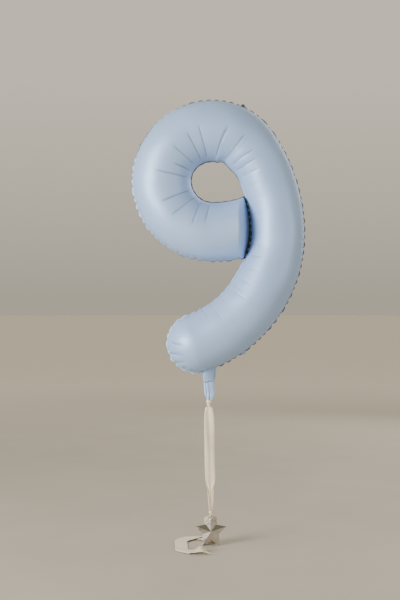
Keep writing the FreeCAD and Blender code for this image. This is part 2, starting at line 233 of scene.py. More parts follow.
def floor_material():
    """Pale matt floor, paler far off: painted light lifts the far floor, out of the lamps' reach, to the
    backdrop's tone.
    """
    s = Shader("pale_floor", Roughness=0.6)
    near = s.ramp(s.noise(3.0, 4.0), ((0.3, (0.46, 0.41, 0.335)), (0.7, (0.50, 0.45, 0.375))))
    distance = s.tree.nodes.new("ShaderNodeVectorMath")
    distance.operation = "LENGTH"
    s.tree.links.new(s.place, distance.inputs[0])
    # Painted light: the floor's colour rises with distance towards the pale backdrop tone.
    far = s.node("ShaderNodeMapRange", Value=distance.outputs["Value"], From_Min=1.5, From_Max=6.0)
    far.interpolation_type = "SMOOTHSTEP"
    mix = s.tree.nodes.new("ShaderNodeMixRGB")
    s.tree.links.new(far.outputs["Result"], mix.inputs["Fac"])
    s.tree.links.new(near, mix.inputs["Color1"])
    mix.inputs["Color2"].default_value = (0.92, 0.85, 0.73, 1)
    s.to(mix.outputs["Color"], "Base Color")
    s.to(s.bump(s.noise(300.0, 3.0), 0.0004, 0.2), "Normal")
    return s.material


FOIL = foil_material("blue_foil", (0.405, 0.572, 0.860), (0.376, 0.543, 0.824), 0.20, 0.46)
# Near-black copy of the foil: painted shade on the weld web deep in the crevice.
WEB_PAINTED_SHADE = foil_material("weld_web_painted_shade", (0.030, 0.042, 0.060), (0.022, 0.032, 0.048), 0.20, 0.50)
# Dark copy of the foil: painted shade on the upper seam tab.
WELD = foil_material("welded_edge_painted_shade", (0.105, 0.150, 0.215), (0.075, 0.110, 0.165), 0.45, 0.32)
CREAM = satin_material("cream_satin", (0.88, 0.77, 0.56), (0.81, 0.70, 0.50), (0.0, 0.0, 1.0))
CREAM_LYING = satin_material("cream_satin_lying", (0.80, 0.70, 0.52), (0.72, 0.62, 0.45), (1.0, 1.0, 0.0))


# ---- mesh helpers -------------------------------------------------------------------------------
def mesh_object(name, points, faces, materials):
    mesh = bpy.data.meshes.new(name)
    mesh.from_pydata([tuple(p) for p in points], [], faces)
    for material in materials:
        mesh.materials.append(material)
    mesh.polygons.foreach_set("use_smooth", [True] * len(mesh.polygons))
    mesh.update()
    made = bpy.data.objects.new(name, mesh)
    bpy.context.scene.collection.objects.link(made)
    return made


def grid_faces(rows, columns, flip=False):
    """Quads over a grid of points stored row by row."""
    faces = []
    for r in range(rows - 1):
        for c in range(columns - 1):
            a = r * columns + c
            quad = (a, a + 1, a + columns + 1, a + columns)
            faces.append(quad[::-1] if flip else quad)
    return faces


def tube_faces(rings, around, closed=False):
    """Quads round a tube of points stored ring by ring, joined end to end if it is closed."""
    faces = []
    for k in range(rings if closed else rings - 1):
        j = (k + 1) % rings
        for n in range(around):
            m = (n + 1) % around
            faces.append((k * around + n, k * around + m, j * around + m, j * around + n))
    return faces


def solid(made, thickness):
    """Give a sheet its thickness."""
    thick = made.modifiers.new("thickness", "SOLIDIFY")
    thick.thickness = thickness
    thick.offset = 0
    return made


def ease(t):
    """Smooth step from 0 to 1."""
    t = np.clip(t, 0.0, 1.0)
    return t * t * (3 - 2 * t)


def route(points):
    """Points along a smooth cord line whose control points are given."""
    curve = bpy.data.curves.new("route", "CURVE")
    curve.dimensions = "3D"
    curve.resolution_u = 24
    spline = curve.splines.new("NURBS")
    spline.points.add(len(points) - 1)
    for target, point in zip(spline.points, points):
        target.co = (*point, 1)
    spline.order_u = 3
    spline.use_endpoint_u = True
    holder = bpy.data.objects.new("route", curve)
    mesh = bpy.data.meshes.new_from_object(holder)
    line = np.array([v.co for v in mesh.vertices])
    bpy.data.meshes.remove(mesh)
    bpy.data.objects.remove(holder)
    bpy.data.curves.remove(curve)
    return line


def lengths(line):
    """Distance along a line at each of its points."""
    steps = np.linalg.norm(np.diff(line, axis=0), axis=1)
    return np.concatenate([[0.0], np.cumsum(steps)])


def points_at(line, distances):
    along = lengths(line)
    return np.stack([np.interp(distances, along, line[:, k]) for k in range(3)], axis=1)


# ---- ribbon -------------------------------------------------------------------------------------
RIBBON_WIDTH = 0.036
RIBBON_THICK = 0.0004
STAR_X = -0.0214

TAUT_ROUTE = (
    (STAR_X, 0.003, 0.0962),
    (-0.0227, 0.0022, 0.165),
    (-0.0257, 0.0008, 0.320),
    (-0.027, 0.0, 0.3884),
)
TAUT_PROFILE = (          # part of the way up, half width
    (0.0, 0.0046), (0.10, 0.0072), (0.20, 0.0086), (0.31, 0.0145), (0.80, 0.0145), (0.93, 0.0135),
    (1.0, 0.0092),
)

TAIL_ROUTE = (
    (STAR_X, 0.0072, 0.0793),
    (STAR_X, 0.0155, 0.0780),
    (STAR_X, 0.0205, 0.0600),
    (STAR_X, 0.0225, 0.0340),
    (STAR_X, 0.0230, 0.0140),
    (STAR_X, 0.0265, 0.0010),
    (STAR_X, 0.0350, 0.0010),
    (STAR_X, 0.0460, 0.0010),
    (-0.0270, 0.0570, 0.0010),
    (-0.0580, 0.0785, 0.0010),
    (-0.0680, 0.0775, 0.0010),
    (-0.0980, 0.0500, 0.0010),
    (-0.1065, 0.0380, 0.0010),
    (-0.1018, -0.0860, 0.0010),
    (-0.0920, -0.0965, 0.0010),
    (-0.0200, -0.1000, 0.0010),
)


def taut_ribbon():
    """The stretch under the balloon: one flat band with soft lengthwise folds that tighten at the knots."""
    line = route(TAUT_ROUTE)
    total = lengths(line)[-1]
    rows, columns = 150, 49
    at = np.linspace(0, 1, rows)
    middle = points_at(line, at * total)
    half = np.interp(at, *zip(*TAUT_PROFILE))
    kernel = np.hanning(15) / np.hanning(15).sum()
    half = np.convolve(np.pad(half, 7, mode="edge"), kernel, mode="valid")
    turn = np.radians(16 * np.sin(at * 2.6 + 0.3) - 6)
    across = np.linspace(-1, 1, columns)
    spare = np.sqrt(np.maximum((RIBBON_WIDTH / (2 * half)) ** 2 - 1, 0))
    gathered = 1 - ease((half - 0.0065) / 0.0055)
    folds = 1.6 + 1.9 * gathered
    slack = 0.30 + 0.55 * gathered
    points = []
    for k in range(rows):
        wave = math.pi * folds[k] * across + 2.0 * at[k]
        deep = half[k] * spare[k] / (math.pi * folds[k]) * slack[k]
        flat = across * half[k]
        front = deep * np.sin(wave) + 0.0012 * np.sin(9 * at[k] + 2 * across)
        x = middle[k][0] + flat * math.cos(turn[k]) - front * math.sin(turn[k])
        y = middle[k][1] + flat * math.sin(turn[k]) + front * math.cos(turn[k])
        points += list(zip(x, y, np.full(columns, middle[k][2])))
    band = mesh_object("taut_ribbon", points, grid_faces(rows, columns), [CREAM])
    solid(band, RIBBON_THICK)
    return band, line


FOLDS = (          # corner of the band's middle line, radius there, and whether it folds over or turns flat
    ((STAR_X, 0.053), 0.0012, "fold"),
    ((-0.063, 0.082), 0.0016, "fold"),
    ((-0.107, 0.043), 0.0400, "turn"),
    ((-0.101, -0.096), 0.0016, "fold"),
)
TAIL_END = (-0.020, -0.100)
END_SLANT = 0.022


def lie(along, side):
    """Place on the floor of a point of the flat band, folded over or turned at each corner."""
    here = Vector((STAR_X + side, 0.035 + along))
    height = 0.0
    onward = Vector((0.0, 1.0))
    ahead = [fold[0] for fold in FOLDS[1:]] + [TAIL_END]
    for (corner, radius, kind), target in zip(FOLDS, ahead):
        after = (Vector(target) - Vector(corner)).normalized()
        place = turned if kind == "turn" else folded
        here, height, done = place(here, height, Vector(corner), onward, after, radius)
        if done:
            return here, height
        onward = after
    return here, height


def turned(here, height, corner, onward, after, radius):
    """Round a corner in the plane of the floor."""
    left = Vector((-onward.y, onward.x))
    sense = 1.0 if left.dot(after) > 0 else -1.0
    angle = math.acos(max(-1.0, min(1.0, onward.dot(after))))
    start = corner - onward * (radius * math.tan(angle / 2))
    along = (here - start).dot(onward)
    if along <= 0:
        return here, height, True
    across = (here - start).dot(left)
    swing = sense * min(along / radius, angle)
    centre = start + left * (sense * radius)
    arm = start + left * across - centre
    spun = Vector((arm.x * math.cos(swing) - arm.y * math.sin(swing),
                   arm.x * math.sin(swing) + arm.y * math.cos(swing)))
    past = max(along - radius * angle, 0.0)
    return centre + spun + after * past, height, past == 0.0


def folded(here, height, corner, onward, after, radius):
    """Over a diagonal fold on to itself, with a small roll along the crease."""
    fold = (onward + after).normalized()
    out = (onward - after).normalized()
    inset = math.pi * radius / 2
    beyond = (here - corner).dot(out) + inset
    if beyond <= 0:
        return here, height, True
    base = corner + fold * (here - corner).dot(fold)
    if beyond < math.pi * radius:
        angle = beyond / radius
        return base + out * (radius * math.sin(angle) - inset), height + radius * (1 - math.cos(angle)), True
    past = beyond - math.pi * radius
    settle = 1 - float(ease(past / 0.075))
    return base - out * (past + inset), (height + 2 * radius) * settle + 0.0006 * (1 - settle), False


def lying_height(here):
    """Gentle waves of a ribbon that doesn't lie quite flat, and the hump before its end."""
    hump = 0.013 * math.exp(-((here.x + 0.050) / 0.013) ** 2 - ((here.y + 0.085) / 0.03) ** 4)
    waves = 0.0007 * (1 + math.sin(here.x * 95 + here.y * 40) * math.cos(here.y * 70))
    return waves + (hump if here.y < -0.06 else 0.0)


def ribbon_tail():
    """The free end: down behind the star, then folded round it on the floor."""
    line = route(TAIL_ROUTE)
    along = lengths(line)
    drop = float(np.interp(0.035, line[:, 1][along < 0.12], along[along < 0.12]))
    corners = [Vector((STAR_X, 0.035))] + [Vector(f[0]) for f in FOLDS] + [Vector(TAIL_END)]
    floor = sum((b - a).length for a, b in zip(corners, corners[1:]))
    columns = 17
    drop_rows = 56
    floor_rows = 260
    half = RIBBON_WIDTH / 2
    across = np.linspace(-1, 1, columns)
    falling = points_at(line, np.linspace(0, drop, drop_rows))
    points = []
    for k, (x, y, z) in enumerate(falling[:-1]):
        share = k / (drop_rows - 1)
        gather = 0.45 + 0.55 * float(ease(share / 0.14))
        bend = 0.0025 * (1 - float(ease(share / 0.5)))
        for side in across:
            fold = bend * math.cos(side * math.pi * 3)
            points.append((x + side * half * gather, y + abs(fold), z))
    for k in range(floor_rows):
        for side in across:
            reach = floor - END_SLANT * (0.5 + 0.5 * side)
            flat, height = lie(reach * k / (floor_rows - 1), side * half)
            rise = float(ease((k - 2) / 18))
            points.append((flat.x, flat.y, 0.0006 + height + lying_height(flat) * rise))
    rows = drop_rows - 1 + floor_rows
    band = mesh_object("ribbon_free_end", points, grid_faces(rows, columns), [CREAM_LYING])
    solid(band, RIBBON_THICK)
    return band, line


def knot_object(name, centre, size, tube, axis_turn):
    """A small pulled-tight knot: a flattened three-lobed loop of ribbon."""
    rings, around = 150, 14
    points = []
    previous = None
    for k in range(rings):
        t = 2 * math.pi * k / rings
        wide = 1.0 + 0.42 * math.cos(3 * t)
        centre_line = Vector((wide * math.cos(2 * t), wide * math.sin(2 * t), 0.85 * math.sin(3 * t)))
        ahead = t + 0.01
        wide_ahead = 1.0 + 0.42 * math.cos(3 * ahead)
        onward = Vector((wide_ahead * math.cos(2 * ahead), wide_ahead * math.sin(2 * ahead),
                         0.85 * math.sin(3 * ahead))) - centre_line
        onward.normalize()
        side = onward.cross(previous if previous else Vector((0, 0, 1))).normalized()
        up = side.cross(onward)
        previous = up
        for n in range(around):
            a = 2 * math.pi * n / around
            crimp = 1 + 0.14 * math.cos(5 * a + 3 * t)
            wide_part = side * (tube * 1.5 * math.cos(a) * crimp)
            p = centre_line * size + wide_part + up * (tube * 0.8 * math.sin(a) * crimp)
            turned = Vector((p.x, p.z, p.y)) if axis_turn else p
            points.append(tuple(Vector(centre) + turned))
    return mesh_object(name, points, tube_faces(rings, around, closed=True), [CREAM])


def middle_of(node):
    low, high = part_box(node)
    return (low + high) / 2


def weight_link():
    """Gathered ribbon through the star's eye: two creased strands and the turn under the wire."""
    low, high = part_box("ribbon_weight_link")
    x = (low.x + high.x) / 2
    strand = (high.x - low.x) / 2
    radius = (high.y - low.y) / 2 - strand
    y = (low.y + high.y) / 2
    bottom = low.z + strand + radius
    path = []
    for k in range(13):
        path.append((y - radius, high.z + (bottom - high.z) * k / 12))
    for k in range(1, 24):
        a = math.pi + math.pi * k / 24
        path.append((y + radius * math.cos(a), bottom + radius * math.sin(a)))
    for k in range(13):
        path.append((y + radius, bottom + (high.z - bottom) * k / 12))
    around = 16
    points = []
    for k, (py, pz) in enumerate(path):
        a, b = path[max(k - 1, 0)], path[min(k + 1, len(path) - 1)]
        onward = Vector((0, b[0] - a[0], b[1] - a[1])).normalized()
        out = Vector((0, -onward.z, onward.y))
        for n in range(around):
            t = 2 * math.pi * n / around
            ply = strand * (1 + 0.16 * math.cos(4 * t + 0.5 * k))
            points.append(Vector((x + ply * math.cos(t), py, pz)) + out * (ply * 0.85 * math.sin(t)))
    return mesh_object("link_ribbon", points, tube_faces(len(path), around), [CREAM])


add_camera()
add_lights()
add_world()

taut, taut_line = taut_ribbon()
tail, tail_line = ribbon_tail()
upper_knot = knot_object("neck_knot", middle_of("ribbon_neck_knot"), 0.0025, 0.0020, False)
lower_knot = knot_object("weight_knot", middle_of("ribbon_weight_knot"), 0.0026, 0.0020, True)
link = weight_link()

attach(taut, "tether")
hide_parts("ribbon_taut")
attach(tail, "weight")
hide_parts("ribbon_tail")
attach(upper_knot, "upper_knot")
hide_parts("ribbon_neck_knot")
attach(lower_knot, "knot")
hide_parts("ribbon_weight_knot")
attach(link, "link")
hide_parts("ribbon_weight_link")


# ---- balloon ------------------------------------------------------------------------------------
SEAM = 0.004
LOOP_HALF = 0.0845
TOP_HALF = 0.088
JOIN_HALF = 0.0820
STEM_HALF = 0.077
TAIL_HALF = 0.0845
STEM_Z = 0.876
CROWN_EASE = 72.0
STEM_EASE = 26.0
TAIL_FLARE = 30.0
TAIL_TURN = 71.3
END_ROUND = 0.019

panel_low, panel_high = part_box("front_foil_panel")
LOOP_R = 0.228
CROWN_R = 0.205
TAIL_R = 0.410
FOOT_R = 0.420
LOOP_X = panel_low.x + LOOP_R
LOOP_Z = panel_high.z - LOOP_R
CROWN_Z = panel_high.z - CROWN_R
TAIL_X = panel_high.x - TAIL_R
FOOT_Z = LOOP_Z - LOOP_R + FOOT_R
span = panel_high.x - LOOP_X
STEM_R = (span**2 + (CROWN_Z - STEM_Z) ** 2 - CROWN_R**2) / (2 * (span - CROWN_R))
STEM_X = panel_high.x - STEM_R
CROWN_END = math.degrees(math.atan2(CROWN_Z - STEM_Z, LOOP_X - STEM_X))
END_X = 0.0715
END_BULGE = 0.0145

STATION = 0.0027          # spacing of the stations along the outer seam
AROUND = 88               # faces across one panel

PUCKER_PITCH = 0.0215
SEAM_SHADE = (            # degrees turned along the stroke, how much painted shade darkens the welded edge there
    (0, 0.85), (25, 0.75), (48, 0.45), (66, 0.10), (104, 0.10), (112, 0.95), (128, 0.90), (136, 0.15),
    (150, 0.15), (158, 0.95), (206, 1.0), (216, 0.60), (236, 0.40), (256, 0.60), (266, 1.0), (335, 0.95),
    (345, 0.1),
)
TAIL_FOLDS = (            # x, z where each fold starts and ends, its depth and half width
    ((-0.1445, 0.541), (-0.092, 0.538), 0.0034, 0.0030),
    ((-0.1400, 0.512), (-0.088, 0.521), 0.0036, 0.0030),
    ((-0.1330, 0.572), (-0.094, 0.562), 0.0022, 0.0024),
    ((-0.1180, 0.488), (-0.084, 0.506), 0.0030, 0.0028),
    ((-0.0900, 0.470), (-0.070, 0.500), 0.0024, 0.0026),
)
HOLE_CREASES = (          # degrees round the hole, share of the stroke's width that the crease crosses
    (262, 0.41), (242, 0.53), (224, 0.59), (205, 0.60), (176, 0.63), (159, 0.37), (142, 0.53),
    (121, 0.54), (105, 0.59), (83, 0.58), (59, 0.58), (38, 0.53), (20, 0.47), (4, 0.43),
)


class Stroke:
    """Stations along the numeral's stroke, from the loop's end to the tip of the tail."""

    def __init__(self):
        self.rows = []
        self.foot()
        self.arc(LOOP_X, LOOP_Z, LOOP_R, -90, -180, LOOP_HALF, LOOP_HALF)
        self.arc(LOOP_X, LOOP_Z, LOOP_R, -180, -270, LOOP_HALF, TOP_HALF)
        self.arc(LOOP_X, CROWN_Z, CROWN_R, 90, CROWN_EASE, TOP_HALF, TOP_HALF)
        self.arc(LOOP_X, CROWN_Z, CROWN_R, CROWN_EASE, CROWN_END, TOP_HALF, JOIN_HALF)
        self.arc(STEM_X, STEM_Z, STEM_R, CROWN_END, STEM_EASE, JOIN_HALF, STEM_HALF)
        self.arc(STEM_X, STEM_Z, STEM_R, STEM_EASE, 0, STEM_HALF, STEM_HALF)
        self.arc(TAIL_X, STEM_Z, TAIL_R, 0, -TAIL_FLARE, STEM_HALF, TAIL_HALF)
        self.arc(TAIL_X, STEM_Z, TAIL_R, -TAIL_FLARE, -TAIL_TURN, TAIL_HALF, TAIL_HALF)
        self.cap()
        rows = np.array(self.rows)
        self.centre = rows[:, 0:2]
        self.out = rows[:, 2:4]
        self.radius = rows[:, 4]
        self.depth = rows[:, 5]
        self.edge_out = rows[:, 6:8]
        self.edge_in = rows[:, 8:10]
        self.capped = rows[:, 10]
        self.outer = self.centre + self.out * self.radius[:, None]
        self.inner = self.centre - self.out * self.radius[:, None]
        self.along_outer = lengths(self.outer)
        self.along_inner = lengths(self.inner)
        hub = self.inner - np.array([LOOP_X, LOOP_Z])
        self.hub_angle = np.degrees(np.unwrap(np.arctan2(hub[:, 1], hub[:, 0])))

    def add(self, centre, out, radius, depth, edge_out, edge_in, capped=0.0):
        self.rows.append((*centre, *out, radius, depth, *edge_out, *edge_in, capped))

    def foot(self):
        straight_end = END_X - END_ROUND
        steps = 30
        for k in range(steps):
            turn = math.pi / 2 * (1 - k / steps)
            self.foot_station(straight_end + END_ROUND * math.sin(turn), math.cos(turn))
        steps = round((straight_end - LOOP_X) / STATION)
        for k in range(steps):
            self.foot_station(straight_end + (LOOP_X - straight_end) * k / steps, 1.0)

    def foot_station(self, x, depth_share):
        offset = x - LOOP_X
        low = FOOT_Z - math.sqrt(FOOT_R**2 - offset**2)
        high = FOOT_Z - math.sqrt((FOOT_R - 2 * LOOP_HALF) ** 2 - offset**2)
        radius = (high - low) / 2 - SEAM
        self.add((x, (low + high) / 2), (0, -1), radius, radius * depth_share, (0, -1), (0, 1))

    def arc(self, cx, cz, radius, start, stop, half_start, half_stop):
        steps = max(2, round(math.radians(abs(stop - start)) * radius / STATION))
        for k in range(steps):
            t = k / steps
            a = math.radians(start + (stop - start) * t)
            half = half_start + (half_stop - half_start) * float(ease(t))
            out = (math.cos(a), math.sin(a))
            middle = radius - half
            tube = half - SEAM
            centre = (cx + out[0] * middle, cz + out[1] * middle)
            self.add(centre, out, tube, tube, out, (-out[0], -out[1]))

    def cap(self):
        a = math.radians(-TAIL_TURN)
        out = np.array([math.cos(a), math.sin(a)])
        onward = np.array([math.sin(a), -math.cos(a)])
        middle = np.array([TAIL_X, STEM_Z]) + out * (TAIL_R - TAIL_HALF)
        tube = TAIL_HALF - SEAM
        steps = round(math.pi / 2 * TAIL_HALF / STATION)
        for k in range(steps + 1):
            turn = math.pi / 2 * min(k / steps, 0.9985)
            centre = middle + onward * tube * math.sin(turn)
            radius = tube * math.cos(turn)
            one = out * math.cos(turn) + onward * math.sin(turn)
            two = -out * math.cos(turn) + onward * math.sin(turn)
            self.add(centre, out, radius, radius, one, two, turn / (math.pi / 2))


def pucker_places(length, seed):
    """Centres, depths, lengths and slants of the gathers along a seam."""
    rng = np.random.default_rng(seed)
    count = int(length / PUCKER_PITCH)
    places = (np.arange(count) + 0.5 + rng.uniform(-0.28, 0.28, count)) * length / count
    depths = rng.uniform(0.0009, 0.0030, count)
    reaches = rng.uniform(0.012, 0.040, count) * np.where(rng.random(count) < 0.18, 1.7, 1.0)
    slants = rng.uniform(-0.12, 0.12, count)
    return places, depths, reaches, slants


def gathers(along, away, places, depths, reaches, slants):
    """How far the film is drawn in by the gathers near a seam, how far it swells between them, and the
    painted shade down each gather.
    """
    drawn = np.zeros_like(away)
    shade_mark = np.zeros_like(away)
    nearest = np.full_like(away, 1.0)
    for place, depth, reach, slant in zip(places, depths, reaches, slants):
        close = np.abs(along[:, 0] - place) < 0.05
        if not close.any():
            continue
        offset = along[close] - place - slant * away[close]
        width = 0.0021 + 0.05 * away[close]
        fade = np.clip(1 - away[close] / reach, 0, 1) ** 1.6
        drawn[close] += depth * np.exp(-(offset / width) ** 2) * fade
        # Painted shade down the middle of each gather.
        shade_mark[close] += 90 * depth * np.exp(-(offset / (0.6 * width)) ** 2) * fade
        nearest[close] = np.minimum(nearest[close], np.abs(offset))
    swell = np.clip(nearest / (PUCKER_PITCH / 2), 0, 1)
    swell = (1 - (1 - swell) ** 2) * np.exp(-away / 0.011)
    return 0.0017 * swell - drawn, shade_mark


def creases(along, share, lines):
    """Sharp tension creases that run out from the inner seam, with a broad dip along each and painted shade
    along each sharp line.
    """
    drawn = np.zeros_like(share)
    shade_mark = np.zeros_like(share)
    for place, start, stop, depth, slant in lines:
        close = np.abs(along[:, 0] - place) < 0.03
        if not close.any():
            continue
        s = share[close]
        offset = along[close] - place - slant * (s - start)
        spread = 1 + 1.6 * s
        mask = ease((s - start) / 0.05) * ease((stop - s) / 0.12)
        sharp = np.exp(-(offset / (0.00085 * spread)) ** 2)
        broad = np.exp(-(offset / (0.0052 * spread)) ** 2)
        fade = ease((stop * 1.15 - s) / 0.35) * ease(s / 0.06)
        drawn[close] += depth * (sharp * mask + 0.75 * broad * fade)
        # Painted shade along the crease's sharp line.
        shade_mark[close] += 400 * depth * sharp**1.5 * mask
    return -drawn, shade_mark


def film_points(stroke, side, seed):
    """Grid of points of one panel's film, station by station from the outer seam to the inner one, with the
    painted shade of its gathers, creases and folds.
    """
    theta = np.linspace(0, math.pi, AROUND + 1)
    cos, sin = np.cos(theta), np.sin(theta)
    radius, depth = stroke.radius[:, None], stroke.depth[:, None]
    x = stroke.centre[:, :1] + stroke.out[:, :1] * radius * cos
    z = stroke.centre[:, 1:] + stroke.out[:, 1:] * radius * cos
    y = side * (0.0002 + depth * sin)
    end_share = np.clip(1 - stroke.depth / np.maximum(stroke.radius, 1e-6), 0, 1)[:, None]
    x = x + END_BULGE * end_share**2 * (1 - cos**2)
    points = np.stack([x, y, z], axis=2)

    along = np.gradient(points, axis=0)
    over = np.gradient(points, axis=1)
    normal = np.cross(along, over) * side
    normal /= np.maximum(np.linalg.norm(normal, axis=2, keepdims=True), 1e-12)
    if (normal[:, AROUND // 2, 1] * side).mean() < 0:
        normal = -normal

    share = (1 - cos)[::-1][None, :] / 2 * np.ones_like(x)
    along_outer = np.repeat(stroke.along_outer[:, None], AROUND + 1, axis=1)
    along_inner = np.repeat(stroke.along_inner[:, None], AROUND + 1, axis=1)
    away_outer = radius * theta
    away_inner = radius * (math.pi - theta)

    length = stroke.along_outer[-1]
    places = pucker_places(length, seed)
    move, shade_mark = gathers(along_outer, away_outer, *places)

    tip = stroke.along_inner[-1]
    back = tip - along_inner
    cap_places = pucker_places(0.30, seed + 1)
    cap_mask = ease((0.24 - back) / 0.08)
    # Each part adds its change of shape and its painted shade.
    for added, shade_marked in (
        [part * cap_mask for part in gathers(back, away_inner, *cap_places)],
        creases(along_inner, share, inner_lines(stroke, side)),
        tail_folds(points, side),
    ):
        move += added
        shade_mark += shade_marked

    drift = np.sin(along_outer * 31 + side) * np.sin(share * 7 + along_outer * 11)
    move += 0.0009 * drift * np.sin(theta)
    settled = ease(stroke.depth / 0.02)[:, None]
    points += normal * (move * settled)[:, :, None]
    return points, places, np.clip(shade_mark * settled, 0, 1)


def tail_folds(points, side):
    """Longer folds that run in from the tail's left end, between its gathers, with painted shade along each
    fold, fainter on the back panel.
    """
    drawn = np.zeros(points.shape[:2])
    shade_mark = np.zeros(points.shape[:2])
    for (x, z), (to_x, to_z), depth, width in TAIL_FOLDS:
        run = np.array([to_x - x, to_z - z])
        reach = float(np.linalg.norm(run))
        run /= reach
        on = (points[:, :, 0] - x) * run[0] + (points[:, :, 2] - z) * run[1]
        off = (points[:, :, 2] - z) * run[0] - (points[:, :, 0] - x) * run[1]
        t = on / reach
        fade = ease(t / 0.06) * np.clip(1 - t, 0, 1) ** 0.8
        spread = width * (1 + 1.8 * np.clip(t, 0, 1))
        drawn += depth * fade * np.exp(-(off / spread) ** 2)
        # Painted shade along the fold.
        shade_mark += 0.75 * fade * np.exp(-(off / (0.35 * spread)) ** 2)
    return -drawn, shade_mark * (1.0 if side < 0 else 0.6)


def inner_lines(stroke, side):
    """Where the creases of one panel lie: those round the hole, and short ones down the stem."""
    rng = np.random.default_rng(20 + int(side))
    order = np.argsort(stroke.hub_angle)
    lines = []
    for angle, stop in HOLE_CREASES:
        turned = (angle - 360 if angle > 200 else angle) - (0 if side < 0 else 4)
        turned = turned if turned > -98 else turned + 360
        matches = stroke.hub_angle[order]
        target = turned - 360 if turned - 360 >= matches[0] else turned
        target = turned if target < matches[0] else target
        place = np.interp(target, matches, stroke.along_inner[order])
        lines.append((place, 0.035, stop, rng.uniform(0.0009, 0.0014), rng.uniform(-0.010, 0.010)))
    stem = np.interp(-358, stroke.hub_angle[order], stroke.along_inner[order])
    place = stem + 0.012
    while place < stroke.along_inner[-1] - 0.15:
        start = rng.uniform(0.03, 0.10)
        lines.append((place, start, start + rng.uniform(0.16, 0.30), rng.uniform(0.0003, 0.0007),
                      rng.uniform(-0.02, 0.02)))
        place += rng.uniform(0.014, 0.036)
    return lines


def swell_at(along, places):
    """0 in a gather, 1 midway between two, along the seam."""
    nearest = np.min(np.abs(along[:, None] - places[0][None, :]), axis=1)
    return np.clip(nearest / (PUCKER_PITCH / 2), 0, 1)


def flange(base, direction, swell, side, count):
    """Strip of welded film outside the seam: its edge is scalloped, and it leans back between gathers."""
    width = SEAM * (0.30 + 0.70 * swell)
    lean = 0.0012 * (swell - 0.35)
    rows = []
    for k in range(1, count + 1):
        t = k / count
        p = base.copy()
        p[:, 0] += direction[:, 0] * width * t
        p[:, 2] += direction[:, 1] * width * t
        p[:, 1] = side * 0.00012 + lean * t
        rows.append(p)
    return rows


def panel(name, side, seed, stroke):
    """One foil panel with its half of the welded seam, and painted shade on its film and along its welded
    edges.
    """
    points, places, shade_mark = film_points(stroke, side, seed)
    rows = len(points)
    outer_swell = swell_at(stroke.along_outer, places)
    inner_swell = 0.75 + 0.20 * np.sin(stroke.along_inner * 260)
    strips = 3
    outer = flange(points[:, 0], stroke.edge_out, outer_swell, side, strips)
    inner = flange(points[:, -1], stroke.edge_in, inner_swell, side, strips)
    columns = AROUND + 1 + 2 * strips
    grid = np.zeros((rows, columns, 3))
    for k in range(strips):
        grid[:, strips - 1 - k] = outer[k]
        grid[:, strips + AROUND + 1 + k] = inner[k]
    grid[:, strips:strips + AROUND + 1] = points
    faces = grid_faces(rows, columns, flip=side > 0)
    skin = mesh_object(name, grid.reshape(-1, 3), faces, [FOIL])
    # Painted shade along the welded edges: the outer edge darker by its direction round the numeral, the
    # inner edge darker round the hole than along the tail; it goes in the 'fold' attribute with the film's
    # painted shade.
    turned = -90 - np.degrees(np.unwrap(np.arctan2(stroke.edge_out[:, 1], stroke.edge_out[:, 0])))
    outer_shade = np.interp(turned, *zip(*SEAM_SHADE)) * (stroke.capped == 0)
    inner_shade = 0.25 + 0.65 * ease((stroke.hub_angle + 375) / 25)
    marks = np.zeros((rows, columns))
    marks[:, strips:strips + AROUND + 1] = shade_mark
    marks[:, :strips] = (outer_shade * (0.60 + 0.40 * outer_swell))[:, None]
    marks[:, strips + AROUND + 1:] = (inner_shade * (stroke.capped == 0))[:, None]
    fold = skin.data.attributes.new("fold", "FLOAT", "POINT")
    fold.data.foreach_set("value", marks.ravel().astype(np.float32))
    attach(skin, "balloon")
    return skin


stroke = Stroke()
front_skin = panel("front_panel_film", -1.0, 31, stroke)
back_skin = panel("back_panel_film", 1.0, 31, stroke)
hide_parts("front_foil_panel")
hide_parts("back_foil_panel")

TAB_RADIUS = 0.006
WELD_THICK = 0.0005
NECK_FILM = 0.0002
NECK_X = -0.027
NECK_TOP = 0.530
NECK_SHAPE = (             # height, shift to the right, half width, half depth
    (0.530, 0.0, 0.0230, 0.020), (0.505, 0.0, 0.0208, 0.0150), (0.487, 0.0, 0.0194, 0.0115),
    (0.473, 0.0, 0.0185, 0.0085), (0.459, 0.0, 0.0148, 0.0040), (0.442, 0.0010, 0.0150, 0.0030),
    (0.428, 0.0028, 0.0155, 0.0030), (0.418, 0.0028, 0.0153, 0.0046), (0.405, 0.0028, 0.0153, 0.0060),
)
NECK_EDGE = (              # part of the half width, height of the neck's cut edge there
    (-1.0, 0.4280), (-0.7, 0.4200), (-0.46, 0.4108), (-0.35, 0.4088), (-0.25, 0.4110), (-0.11, 0.4180),
    (0.06, 0.4130), (0.19, 0.4085), (0.28, 0.4068), (0.38, 0.4085), (0.62, 0.4170), (1.0, 0.4280),
)


